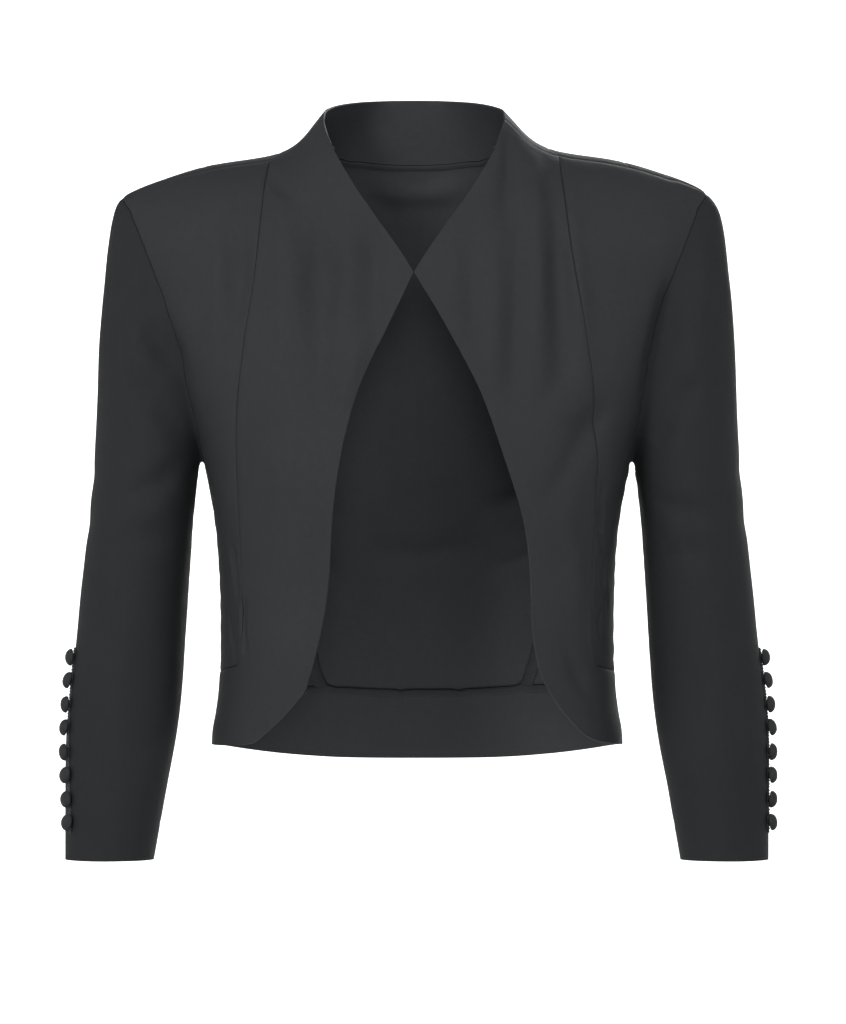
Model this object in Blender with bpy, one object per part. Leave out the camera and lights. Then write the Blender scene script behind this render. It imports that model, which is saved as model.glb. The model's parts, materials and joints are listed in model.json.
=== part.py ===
"""Bolero jacket: open front, stand collar grown onto the fronts, set-in sleeves with covered buttons.

Tables and sizes are in millimetres. X points to the wearer's left, Y to the back and Z up. The origin
lies midway between the neck points of the two shoulders, where a wearer would hold the jacket up.
"""

import bisect
import math

import bmesh
import bpy
from mathutils import Matrix, Vector
from mathutils.bvhtree import BVHTree

MM = 0.001
WALL = 1.5
SEAM_GAP = 0.3
SHARPEST_MITRE = 1.5

# The body: one row for each height, for a general figure with room to move.
BODY = (
    # height, half_width, front_depth, back_depth, squareness
    (-420.0, 141.0, 104.0, 91.0, 2.4),
    (-391.0, 140.0, 105.0, 90.0, 2.4),
    (-369.0, 136.0, 106.0, 88.0, 2.4),
    (-347.0, 134.6, 107.0, 86.0, 2.4),
    (-314.0, 134.2, 109.0, 84.0, 2.4),
    (-292.0, 134.6, 111.0, 84.0, 2.4),
    (-259.0, 136.6, 115.0, 87.0, 2.4),
    (-227.0, 141.4, 118.0, 91.0, 2.4),
    (-208.0, 145.5, 118.0, 94.0, 2.4),
    (-193.0, 149.5, 117.0, 96.0, 2.4),
    (-162.0, 160.0, 113.0, 99.0, 2.4),
    (-130.0, 170.0, 107.0, 100.0, 2.4),
    (-104.0, 181.0, 101.0, 98.0, 2.3),
    (-78.0, 192.0, 93.0, 94.0, 2.2),
    (-52.0, 202.0, 84.0, 88.0, 2.1),
    (-20.0, 211.0, 71.0, 81.0, 2.0),
    (0.0, 214.0, 62.0, 76.0, 2.0),
    (27.0, 214.0, 53.0, 68.0, 2.0),
    (50.0, 214.0, 46.0, 60.0, 2.0),
)

# The ridge of the neck and shoulder seen from the front, where the front rolls over to the back.
RIDGE = (
    # from_centre, height
    (0.0, 130.0),
    (20.0, 84.0),
    (40.0, 60.0),
    (52.0, 46.0),
    (58.0, 38.5),
    (64.0, 31.5),
    (68.0, 27.0),
    (72.0, 21.5),
    (78.0, 15.5),
    (84.0, 11.0),
    (91.5, 7.5),
    (98.0, 5.5),
    (110.0, 3.9),
    (133.0, 1.3),
    (150.0, -2.6),
    (165.0, -6.6),
    (179.0, -10.8),
    (192.0, -15.4),
    (200.0, -20.5),
    (216.0, -33.0),
)
ROLL_RADIUS = 55.0

# The neck sits a little to the wearer's right, and the left shoulder a little higher than the right.
LEAN = (
    # height, shift to the left
    (-200.0, 0.0),
    (-100.0, -1.6),
    (-79.0, -2.2),
    (0.0, -2.0),
)
SHOULDER_TILT = 1.7
TILT_FROM = 55.0
TILT_FULLY = 80.0

# Seams on the front of either half, from the bottom up.
FRONT_PRINCESS = (
    # from_centre, height
    (120.5, -344.0),
    (117.0, -332.0),
    (118.5, -290.0),
    (120.0, -250.0),
    (123.0, -225.0),
    (124.0, -190.0),
    (120.5, -157.0),
    (118.0, -130.0),
    (111.0, -100.0),
    (105.0, -66.0),
    (102.5, -31.0),
    (98.5, 1.0),
)
ARMHOLE = (
    # from_centre, height
    (145.5, -208.0),
    (147.5, -193.0),
    (154.0, -162.0),
    (160.5, -130.0),
    (167.5, -104.0),
    (176.5, -78.0),
    (186.5, -52.0),
    (196.0, -30.0),
)
SHOULDER_TIP = (200.0, -23.0)
NECK_POINT = FRONT_PRINCESS[-1]
COLLAR_CORNER = (62.0, 27.0)

# The open edge of each front: from the hem at the side seam up to the point where the fronts meet.
RIGHT_EDGE = (
    # from_centre, height
    (139.5, -399.0),
    (115.0, -397.5),
    (102.0, -390.0),
    (86.0, -375.0),
    (74.5, -359.0),
    (66.4, -328.0),
    (61.5, -306.0),
    (58.6, -281.0),
    (57.2, -244.0),
    (51.7, -204.0),
    (44.0, -173.0),
    (33.4, -144.0),
    (17.6, -115.0),
    (0.0, -79.0),
)
LEFT_EDGE = (
    # from_centre, height
    (139.5, -399.0),
    (121.5, -395.0),
    (107.0, -385.5),
    (94.5, -371.0),
    (83.5, -352.0),
    (77.4, -324.0),
    (77.0, -289.0),
    (75.0, -261.0),
    (71.0, -240.0),
    (63.8, -219.0),
    (55.8, -195.5),
    (44.5, -161.0),
    (24.0, -121.0),
    (0.0, -79.0),
)
# The upper edge of either front, from the meeting point up to the corner of the collar.
COLLAR_EDGE = (
    # from_centre, height
    (0.0, -79.0),
    (10.0, -62.5),
    (19.0, -50.0),
    (28.0, -37.0),
    (37.0, -25.0),
    (45.3, -11.0),
    (52.6, 1.5),
    (59.0, 16.0),
    COLLAR_CORNER,
)
EDGE_SHARE_AT_BAND = 0.155

# Seams of the back.
BACK_PRINCESS = (
    # from_centre, height
    (65.0, -364.0),
    (74.5, -336.0),
    (84.0, -308.0),
    (92.0, -280.0),
    (100.0, -240.0),
    (107.0, -190.0),
    (112.0, -130.0),
    (118.0, -70.0),
    (128.0, -22.0),
)
# The back seams lie a little to the wearer's left at the band, and evenly from the waist up.
BACK_SEAM_LEAN = 5.0
BACK_LEAN_TO = -270.0
NECK_SEAM = (
    # from_centre, height, on the back
    (92.0, 7.3, 1),
    (88.0, 6.0, 1),
    (72.0, 5.0, 1),
    (52.0, 4.4, 1),
    (25.0, 1.5, 1),
    (0.0, 0.5, 1),
)
COLLAR_TOP = (
    # from_centre, height, on the back
    (60.5, 35.3, 1),
    (54.0, 38.5, 1),
    (40.0, 41.5, 1),
    (20.0, 43.3, 1),
    (0.0, 43.7, 1),
)
HEM_SIDE = -399.0
HEM_DROP = 12.0
BAND_SIDE = -349.0
BAND_DROP = 16.0
DROP_POWER = 3.0

# The largest folds: soft ridges, or troughs where the rise is negative, along a line on one face.
FOLDS = (
    # x_top, height_top, x_low, height_low, half_width, rise, on the back
    (-82.0, -20.0, -80.0, -165.0, 13.0, 2.2, 0),
    (-62.0, -70.0, -60.0, -150.0, 10.0, -1.8, 0),
    (-27.0, -55.0, -31.0, -112.0, 9.0, -1.5, 0),
    (-119.0, -40.0, -124.0, -110.0, 10.0, -1.8, 0),
    (-45.0, -105.0, -52.0, -160.0, 10.0, 1.6, 0),
    (60.0, 5.0, 58.0, -40.0, 9.0, -2.0, 0),
    (76.0, -10.0, 80.0, -120.0, 10.0, 2.0, 0),
    (93.0, -20.0, 97.0, -150.0, 9.0, -2.0, 0),
    (42.0, -65.0, 45.0, -125.0, 10.0, -1.4, 0),
    (120.0, -165.0, 98.0, -195.0, 12.0, 1.6, 0),
    (124.0, -240.0, 127.0, -310.0, 7.0, -1.4, 0),
    (-126.0, -240.0, -128.0, -300.0, 7.0, -1.2, 0),
    (95.0, -200.0, 60.0, -300.0, 14.0, -1.8, 1),
    (-95.0, -205.0, -58.0, -295.0, 14.0, -1.8, 1),
    (118.0, -100.0, 110.0, -180.0, 12.0, 1.6, 1),
    (-118.0, -105.0, -110.0, -185.0, 12.0, 1.6, 1),
)

# The sleeve: one row for each ring, which fans out below the armhole before it lies level.
SLEEVE = (
    # outer_x, outer_height, inner_x, inner_height, half_depth, middle_y
    (207.0, -29.5, 147.6, -210.0, 48.0, -3.0),
    (211.0, -48.0, 148.3, -214.0, 49.5, -2.0),
    (213.5, -72.0, 148.8, -218.5, 51.0, -1.0),
    (215.6, -100.0, 149.3, -223.0, 52.0, 0.0),
    (217.4, -132.0, 149.9, -228.0, 53.0, 1.0),
    (219.2, -164.0, 150.6, -234.0, 53.5, 2.0),
    (220.6, -198.0, 151.5, -242.0, 53.5, 3.0),
    (223.0, -229.0, 152.5, -254.0, 53.0, 4.0),
    (226.4, -258.0, 153.6, -270.0, 52.0, 4.5),
    (229.8, -285.0, 154.9, -289.0, 51.0, 4.5),
    (232.0, -310.0, 156.2, -311.0, 50.0, 4.0),
    (234.2, -334.0, 157.6, -334.0, 48.5, 2.5),
    (237.2, -357.0, 159.0, -357.0, 47.0, 0.5),
    (239.6, -379.0, 160.9, -379.0, 45.5, -2.5),
    (240.4, -402.0, 164.6, -402.0, 44.5, -6.0),
    (240.4, -427.0, 169.6, -427.0, 43.0, -10.0),
    (240.4, -452.0, 174.0, -452.0, 42.0, -14.0),
    (240.2, -477.0, 178.6, -477.0, 41.0, -18.0),
)
RINGS_TO_ROUND = 5

# Covered shank buttons in a row up each cuff.
BUTTON_COUNT = 8
BUTTON_LOWEST = -451.5
BUTTON_SPACING = 16.0
BUTTON_TURN = {"right": (12.0, 32.0), "left": (6.0, 16.0)}
BUTTON_TILT = (6.0, -5.0, 3.0, -7.0, 5.0, -3.0, 7.0, -6.0)
BUTTON_PROFILE = (
    # radius, height above the cloth
    (1.2, 0.45),
    (1.2, 1.6),
    (4.6, 1.7),
    (5.3, 2.6),
    (4.9, 4.3),
    (3.2, 5.9),
)
BUTTON_TOP = 6.6
BUTTON_SIDES = 10

# How many faces a piece has along its seams.
LOWER_ROWS = 7
UPPER_ROWS = 11
BAND_ROWS = 3
COLLAR_ROWS = 5
FRONT_COLUMNS = 11
SIDE_FRONT_COLUMNS = 8
SHOULDER_COLUMNS = 3
NECK_COLUMNS = 14
CURVE_STEPS = 12

CLOTH_COLOUR = (0.034, 0.036, 0.040, 1.0)
BUTTON_COLOUR = (0.040, 0.042, 0.046, 1.0)
CLOTH_ROUGHNESS = 0.82
SIDES = {"right": -1, "left": 1}


def through(rows, column=1):
    """Return a function that runs smoothly through a column of a table and never overshoots it."""
    places = [row[0] for row in rows]
    values = [row[column] for row in rows]
    steps = [b - a for a, b in zip(places, places[1:])]
    rises = [(b - a) / step for a, b, step in zip(values, values[1:], steps)]
    slopes = [rises[0]]
    for before, after in zip(rises, rises[1:]):
        turns = before * after <= 0
        slopes.append(0.0 if turns else 2 * before * after / (before + after))
    slopes.append(rises[-1])

    def value(place):
        place = min(max(place, places[0]), places[-1])
        i = min(bisect.bisect_right(places, place), len(steps)) - 1
        t = (place - places[i]) / steps[i]
        start = (1 + 2 * t) * (1 - t) ** 2 * values[i] + t * (1 - t) ** 2 * steps[i] * slopes[i]
        end = t * t * (3 - 2 * t) * values[i + 1] - t * t * (1 - t) * steps[i] * slopes[i + 1]
        return start + end

    return value


half_width = through(BODY, 1)
front_depth = through(BODY, 2)
back_depth = through(BODY, 3)
squareness = through(BODY, 4)
ridge = through(RIDGE)
lean = through(LEAN)


def blend(a, b, share):
    return a + (b - a) * share


def ease(share):
    share = min(max(share, 0.0), 1.0)
    return share * share * (3 - 2 * share)


def fold_rise(x, height, on_back):
    """Return how far the folds lift the cloth at one place of the front or the back."""
    lift = 0.0
    for x_top, top, x_low, low, width, rise, back in FOLDS:
        if back != on_back:
            continue
        along = min(max((top - height) / (top - low), 0.0), 1.0)
        aside = (x - blend(x_top, x_low, along)) / width
        beyond = max(height - top, low - height, 0.0) / (2 * width)
        fade = 0.35 + 0.65 * math.sin(math.pi * along)
        lift += rise * fade * math.exp(-aside * aside - beyond * beyond)
    return lift


def body_point(turn, height, side):
    """Return a place on the body: turn runs from the centre to the side seam, side is 1 on the back."""
    across = half_width(height) * math.sin(turn)
    power = squareness(height)
    reach = max(1 - abs(math.sin(turn)) ** power, 0.0) ** (1 / power)
    drop = min(max(ridge(abs(across)) - height, 0.0), ROLL_RADIUS)
    rounding = math.sqrt(1 - (1 - drop / ROLL_RADIUS) ** 2)
    depth = (back_depth if side > 0 else front_depth)(height)
    lift = fold_rise(across, height, int(side > 0)) * reach
    tilt = SHOULDER_TILT * ease((abs(across) - TILT_FROM) / (TILT_FULLY - TILT_FROM))
    tilt *= math.copysign(1 - ease(drop / ROLL_RADIUS), across)
    return Vector((across + lean(height), side * (depth * reach * rounding + lift), height + tilt))


def rolled_height(turn, roll):
    """Return a height by its roll, the root of its drop below the ridge, which is above 0 on the back."""
    height = 0.0
    for _ in range(10):
        height = ridge(abs(half_width(height) * math.sin(turn))) - roll * roll
    return height


def rolled_point(turn, roll):
    return body_point(turn, rolled_height(turn, roll), 1 if roll > 0 else -1)


def place(across, height, side):
    """Turn a distance from the centre and a height into a turn and a roll."""
    turn = math.asin(max(min(across / half_width(height), 1.0), -1.0))
    return turn, side * math.sqrt(max(ridge(abs(across)) - height, 0.0))


def flat(across, height):
    """Turn a distance from the centre and a height on the front into a turn and that height."""
    return math.asin(max(min(across / half_width(height), 1.0), -1.0)), height


def pair(a, b, share):
    return blend(a[0], b[0], share), blend(a[1], b[1], share)


def drawn(places):
    """Return many places on a smooth path through a few of them."""
    ends = [places[0], *places, places[-1]]
    path = []
    for a, b, c, d in zip(ends, ends[1:], ends[2:], ends[3:]):
        for step in range(CURVE_STEPS):
            t = step / CURVE_STEPS
            weights = (
                -0.5 * t + t * t - 0.5 * t**3,
                1 - 2.5 * t * t + 1.5 * t**3,
                0.5 * t + 2 * t * t - 1.5 * t**3,
                0.5 * t**3 - 0.5 * t * t,
            )
            path.append(tuple(sum(w * p[k] for w, p in zip(weights, (a, b, c, d))) for k in (0, 1)))
    return path + [places[-1]]


def spaced(path, shares, point):
    """Return the places that lie at the given shares of a path's length over the cloth."""
    spots = [point(*p) for p in path]
    lengths = [0.0]
    for a, b in zip(spots, spots[1:]):
        lengths.append(lengths[-1] + (b - a).length)
    found = []
    for share in shares:
        goal = share * lengths[-1]
        i = min(max(bisect.bisect_left(lengths, goal), 1), len(path) - 1)
        step = lengths[i] - lengths[i - 1]
        found.append(pair(path[i - 1], path[i], (goal - lengths[i - 1]) / step if step else 0.0))
    return found


def even(count):
    return [i / count for i in range(count + 1)]


def drop_line(side_height, drop, turn):
    """Return the height of a line that is lowest at the centre back."""
    return side_height - drop * (1 - abs(math.sin(turn)) ** DROP_POWER)


def front_seams():
    """Return the seam places that one half's front panels share, for the wearer's left."""
    neck = place(*NECK_POINT, -1)
    tip = place(*SHOULDER_TIP, -1)
    princess_path = drawn([place(*row, -1) for row in FRONT_PRINCESS])
    rows = LOWER_ROWS + UPPER_ROWS
    princess = spaced(princess_path, even(rows), rolled_point)
    heights = [blend(BAND_SIDE, ARMHOLE[0][1], share) for share in even(LOWER_ROWS)]
    side = [place(half_width(height), height, -1) for height in heights]
    armhole = drawn([place(*row, -1) for row in ARMHOLE] + [tip])
    outer = side + spaced(armhole, even(UPPER_ROWS), rolled_point)[1:]
    princess[0] = place(*FRONT_PRINCESS[0], -1)
    princess[-1] = neck
    return princess, outer


def side_front_places():
    princess, outer = front_seams()
    shares = even(SIDE_FRONT_COLUMNS)
    return [[pair(a, b, share) for share in shares] for a, b in zip(princess, outer)]


def side_back_places(shoulder, sign):
    """Return a side back, whose top row is the outer part of the shoulder seam."""
    seam_rows = []
    for across, height in BACK_PRINCESS:
        aside = BACK_SEAM_LEAN * ease((height - BACK_LEAN_TO) / (BACK_PRINCESS[0][1] - BACK_LEAN_TO))
        seam_rows.append((across + sign * aside, height))
    top_inner = shoulder[SHOULDER_COLUMNS]
    top_outer = shoulder[-1]
    rows = LOWER_ROWS + UPPER_ROWS
    princess_path = drawn([place(*row, 1) for row in seam_rows] + [top_inner])
    princess = spaced(princess_path, even(rows), rolled_point)
    heights = [blend(BAND_SIDE, ARMHOLE[0][1], share) for share in even(LOWER_ROWS)]
    side = [place(half_width(height), height, 1) for height in heights]
    armhole = drawn([place(*row, 1) for row in ARMHOLE] + [top_outer])
    outer = side + spaced(armhole, even(UPPER_ROWS), rolled_point)[1:]
    band_turn = princess[0][0]
    low = drop_line(BAND_SIDE, BAND_DROP, band_turn)
    princess[0] = place(half_width(low) * math.sin(band_turn), low, 1)
    shares = even(SIDE_FRONT_COLUMNS - SHOULDER_COLUMNS)
    grid = [[pair(a, b, share) for share in shares] for a, b in zip(princess, outer)]
    turns = [spot[0] for spot in grid[0]]
    lows = [drop_line(BAND_SIDE, BAND_DROP, turn) for turn in turns]
    grid[0] = [place(half_width(low) * math.sin(turn), low, 1) for turn, low in zip(turns, lows)]
    return grid


def mirrored(path):
    """Return a path on the wearer's left as it is met from the right: reversed and mirrored."""
    return [(-turn, roll) for turn, roll in reversed(path)]


def neck_places():
    """Return the neck seam and the top of the collar, from the wearer's right round to the left."""
    shares = even(NECK_COLUMNS // 2)
    halves = []
    for corner, table in ((NECK_POINT, NECK_SEAM), (COLLAR_CORNER, COLLAR_TOP)):
        path = drawn([place(*corner, -1)] + [place(*row) for row in table])
        half = spaced(path, shares, rolled_point)
        half[0] = place(*corner, -1)
        halves.append([(-turn, roll) for turn, roll in half] + list(reversed(half))[1:])
    return halves


def bow_at(path, part):
    """Return how far a path lies aside of the straight line between its ends, at a part of its roll."""
    first, last = path[0], path[-1]
    goal = blend(first[1], last[1], part)
    for a, b in zip(path, path[1:]):
        if b[1] <= goal:
            share = (goal - a[1]) / (b[1] - a[1])
            return blend(a[0], b[0], share) - blend(first[0], last[0], part)
    return 0.0


def centre_back_places(right, left, shoulder, neck_seam):
    """Return the centre back, whose columns run from the band up to the neck or shoulder seam."""
    inner_shoulder = shoulder[1 : SHOULDER_COLUMNS + 1]
    top = mirrored(inner_shoulder) + neck_seam + inner_shoulder
    rows = len(left) - 1
    right_path, left_path = drawn(right), drawn(left)
    columns = []
    for i, end in enumerate(top):
        share = i / (len(top) - 1)
        turn = blend(-right[0][0], left[0][0], share)
        low = drop_line(BAND_SIDE, BAND_DROP, turn)
        start = place(half_width(low) * math.sin(turn), low, 1)
        path = []
        for part in even(rows * CURVE_STEPS):
            bow = blend(-bow_at(right_path, part), bow_at(left_path, part), share)
            spot = pair(start, end, part)
            path.append((spot[0] + bow, spot[1]))
        columns.append(spaced(path, even(rows), rolled_point))
    columns[0] = [(-turn, roll) for turn, roll in right]
    columns[-1] = left
    return [[column[r] for column in columns] for r in range(rows + 1)]


def front_grid(side_front, edge_rows, sign):
    """Return a centre front: a strip that turns under the side front and runs up into the collar."""
    bottom = list(reversed(side_front[0]))
    princess = [row[0] for row in side_front[1:]]
    neck = place(*NECK_POINT, -1)
    corner = place(*COLLAR_CORNER, -1)
    collar = [pair(neck, corner, share) for share in even(COLLAR_ROWS)][1:]
    seam = [(turn, rolled_height(turn, roll)) for turn, roll in bottom + princess + collar]

    lower = drawn([flat(*row) for row in edge_rows])
    upper = drawn([flat(*row) for row in COLLAR_EDGE])
    meeting = edge_rows[-1][1]
    foot = len(bottom) - 1
    met = min(range(foot, len(seam)), key=lambda i: abs(seam[i][1] - meeting))
    shares = [EDGE_SHARE_AT_BAND * i / foot for i in range(foot)]
    shares += [blend(EDGE_SHARE_AT_BAND, 1.0, (i - foot) / (met - foot)) for i in range(foot, met + 1)]

    def on_front(turn, height):
        return body_point(sign * turn, height, -1)

    edge = spaced(lower, shares, on_front)
    edge += spaced(upper, even(len(seam) - 1 - met), on_front)[1:]
    edge[0] = (math.pi / 2, HEM_SIDE)

    shares = even(FRONT_COLUMNS)
    return [[on_front(*pair(start, end, share)) for share in shares] for start, end in zip(edge, seam)]


def band_grid(top_row):
    """Return the back hem band, from the hem up to the places of the seam above it."""
    tops = [rolled_point(*spot) for spot in top_row]
    grid = []
    for share in even(BAND_ROWS):
        row = []
        for (turn, _), top in zip(top_row, tops):
            height = blend(drop_line(HEM_SIDE, HEM_DROP, turn), top.z, share)
            row.append(top if share == 1 else body_point(turn, height, 1))
        grid.append(row)
    return grid


def ring_frame(outer_x, outer_z, inner_x, inner_z, middle_y, sign):
    """Return the middle of a sleeve ring, its reach to the outer side and its direction up the arm."""
    middle = Vector((sign * (outer_x + inner_x) / 2, middle_y, (outer_z + inner_z) / 2))
    reach = Vector((sign * (outer_x - inner_x) / 2, 0.0, (outer_z - inner_z) / 2))
    level = Vector((-reach.z, 0.0, reach.x)).normalized() * sign
    return middle, reach, level


def sleeve_grid(armhole, sign):
    """Return a sleeve as rings: the first is the armhole, the last the cuff."""
    tip, under = armhole[0], armhole[UPPER_ROWS]
    middle, reach, level = ring_frame(tip.x * sign, tip.z, under.x * sign, under.z, SLEEVE[0][5], sign)
    first = []
    for spot in armhole:
        away = spot - middle
        along = away.dot(reach) / reach.length_squared
        first.append((along, away.y / SLEEVE[0][4], away.dot(level)))
    grid = [armhole]
    for number, (outer_x, outer_z, inner_x, inner_z, depth, middle_y) in enumerate(SLEEVE, 1):
        middle, reach, level = ring_frame(outer_x, outer_z, inner_x, inner_z, middle_y, sign)
        rounder = ease(number / RINGS_TO_ROUND)
        ring = []
        for along, side, bulge in first:
            size = math.hypot(along, side)
            a = blend(along, along / size, rounder)
            b = blend(side, side / size, rounder)
            ring.append(middle + reach * a + Vector((0, depth * b, 0)) + level * bulge * (1 - rounder))
        grid.append(ring)
    return grid


class Shell:
    """The whole jacket as one thin sheet, whose faces know which piece they belong to."""

    def __init__(self):
        self.mesh = bmesh.new()
        self.piece = self.mesh.faces.layers.int.new("piece")
        self.names = []

    def add(self, name, grid, flip, closed=False):
        """Add a grid of points as one piece."""
        self.names.append(name)
        rows = [[self.mesh.verts.new(spot * MM) for spot in row] for row in grid]
        for low, high in zip(rows, rows[1:]):
            around = list(zip(low, high))
            following = around[1:] + around[:1] if closed else around[1:]
            for (a, b), (d, c) in zip(around, following):
                corners = (a, b, c, d) if flip else (a, d, c, b)
                face = self.mesh.faces.new(corners)
                face[self.piece] = len(self.names) - 1

    def sew(self):
        """Join the pieces where their seams share points, so that they bend together."""
        bmesh.ops.remove_doubles(self.mesh, verts=self.mesh.verts, dist=0.05 * MM)
        self.mesh.normal_update()

    def cut(self, number):
        """Return one piece as a closed wall, with half of the gap left at each of its seams."""
        faces = [face for face in self.mesh.faces if face[self.piece] == number]
        inward = {}
        rim = []
        for face in faces:
            for loop in face.loops:
                edge = loop.edge
                if any(other is not face and other[self.piece] == number for other in edge.link_faces):
                    continue
                start, end = loop.vert, loop.link_loop_next.vert
                into = face.normal.cross(end.co - start.co).normalized()
                rim.append((start, end))
                inward.setdefault(start, []).append(into)
                inward.setdefault(end, []).append(into)
        solid = bmesh.new()
        outer, inner = {}, {}
        for vert in {vert for face in faces for vert in face.verts}:
            spot = vert.co.copy()
            if vert in inward:
                both = sum(inward[vert], Vector())
                both.normalize()
                sharp = max(both.dot(inward[vert][0]), 1 / (2 * SHARPEST_MITRE))
                spot += both * (SEAM_GAP / 2 * MM / sharp)
            depth = WALL * MM * min(vert.calc_shell_factor(), SHARPEST_MITRE)
            outer[vert] = solid.verts.new(spot)
            inner[vert] = solid.verts.new(spot - vert.normal * depth)
        for face in faces:
            solid.faces.new([outer[vert] for vert in face.verts])
            solid.faces.new([inner[vert] for vert in reversed(face.verts)])
        for start, end in rim:
            solid.faces.new((outer[end], outer[start], inner[start], inner[end]))
        bmesh.ops.triangulate(solid, faces=solid.faces[:])
        return solid


def add_object(name, solid, colour):
    """Turn a bmesh into a named object with a material of its own."""
    mesh = bpy.data.meshes.new(name)
    solid.to_mesh(mesh)
    solid.free()
    mesh.shade_smooth()
    mesh.set_sharp_from_angle(angle=math.radians(40))
    material = bpy.data.materials.new(name)
    material.use_nodes = True
    shader = material.node_tree.nodes["Principled BSDF"]
    shader.inputs["Base Color"].default_value = colour
    shader.inputs["Roughness"].default_value = CLOTH_ROUGHNESS
    mesh.materials.append(material)
    thing = bpy.data.objects.new(name, mesh)
    bpy.context.scene.collection.objects.link(thing)
    return thing


def button_solid():
    """Return a covered button that stands on its shank along Z: a turned dome with a flat back."""
    solid = bmesh.new()
    rings = []
    for radius, height in BUTTON_PROFILE:
        ring = []
        for side in range(BUTTON_SIDES):
            angle = 2 * math.pi * side / BUTTON_SIDES
            spot = Vector((radius * math.cos(angle), radius * math.sin(angle), height))
            ring.append(solid.verts.new(spot * MM))
        rings.append(ring)
    top = solid.verts.new((0, 0, BUTTON_TOP * MM))
    for low, high in zip(rings, rings[1:]):
        for a, b, c, d in zip(low, low[1:] + low[:1], high[1:] + high[:1], high):
            solid.faces.new((a, b, c, d))
    for a, b in zip(rings[-1], rings[-1][1:] + rings[-1][:1]):
        solid.faces.new((a, b, top))
    solid.faces.new(list(reversed(rings[0])))
    bmesh.ops.triangulate(solid, faces=solid.faces[:])
    return solid


def add_buttons(side_name, sign, cloth):
    """Stand the buttons in a row on the outer side of a cuff, turning a little to the front."""
    rows = [(-row[1], *row) for row in SLEEVE]
    outer, inner, depth, middle_y = (through(rows, column) for column in (1, 3, 5, 6))
    turn_top, turn_low = BUTTON_TURN[side_name]
    for number in range(BUTTON_COUNT):
        height = BUTTON_LOWEST + BUTTON_SPACING * (BUTTON_COUNT - 1 - number)
        turn = math.radians(blend(turn_top, turn_low, number / (BUTTON_COUNT - 1)))
        middle = (outer(-height) + inner(-height)) / 2
        half = (outer(-height) - inner(-height)) / 2
        across = middle + half * math.cos(turn)
        back = middle_y(-height) - depth(-height) * math.sin(turn)
        seat, out, _, _ = cloth.find_nearest(Vector((sign * across, back, height)) * MM)
        tilt = Matrix.Rotation(math.radians(BUTTON_TILT[number]) * sign, 3, "Y")
        button = add_object(f"button_{side_name}_{number + 1}", button_solid(), BUTTON_COLOUR)
        button.location = seat
        button.rotation_mode = "QUATERNION"
        button.rotation_quaternion = (tilt @ out).to_track_quat("Z", "Y")


def main():
    for thing in list(bpy.data.objects):
        bpy.data.objects.remove(thing)

    side_front = side_front_places()
    shoulder = side_front[-1]
    side_backs = {name: side_back_places(shoulder, sign) for name, sign in SIDES.items()}
    inner_seams = [[row[0] for row in side_backs[name]] for name in SIDES]
    neck_seam, collar_top = neck_places()
    centre_back = centre_back_places(*inner_seams, shoulder, neck_seam)

    shell = Shell()
    edges = {"right": RIGHT_EDGE, "left": LEFT_EDGE}
    for side_name, sign in SIDES.items():
        on_right = sign < 0
        front = [[rolled_point(sign * turn, roll) for turn, roll in row] for row in side_front]
        side_back = side_backs[side_name]
        back = [[rolled_point(sign * turn, roll) for turn, roll in row] for row in side_back]
        shell.add(f"front_{side_name}", front_grid(side_front, edges[side_name], sign), on_right)
        shell.add(f"side_front_{side_name}", front, on_right)
        shell.add(f"side_back_{side_name}", back, not on_right)
        front_armhole = [row[-1] for row in front[LOWER_ROWS:]]
        back_armhole = [row[-1] for row in back[LOWER_ROWS:]]
        armhole = list(reversed(front_armhole)) + back_armhole[1:-1]
        shell.add(f"sleeve_{side_name}", sleeve_grid(armhole, sign), on_right, closed=True)
    shell.add("back_centre", [[rolled_point(*spot) for spot in row] for row in centre_back], True)
    band_top = mirrored(side_backs["right"][0]) + centre_back[0][1:-1] + side_backs["left"][0]
    shell.add("hem_band", band_grid(band_top), True)
    collar = []
    for share in even(COLLAR_ROWS):
        row = [pair(low, high, share) for low, high in zip(neck_seam, collar_top)]
        collar.append([rolled_point(*spot) for spot in row])
    shell.add("collar_back", collar, True)
    shell.sew()

    cloth = BVHTree.FromBMesh(shell.mesh)
    for number, name in enumerate(shell.names):
        add_object(name, shell.cut(number), CLOTH_COLOUR)
    for side_name, sign in SIDES.items():
        add_buttons(side_name, sign, cloth)


main()
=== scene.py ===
"""Bolero jacket: its cloth, folds, seams and covered buttons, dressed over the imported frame.

Tables of sizes are in millimetres, and everything else is in metres. X points to the wearer's left,
Y to the back and Z up.
"""

import functools
import json
import math

import bmesh
import bpy
import numpy as np
from bpy.props import FloatProperty, FloatVectorProperty, IntProperty, PointerProperty
from mathutils import Matrix, Vector, noise
from mathutils.bvhtree import BVHTree
from mathutils.kdtree import KDTree

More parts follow.
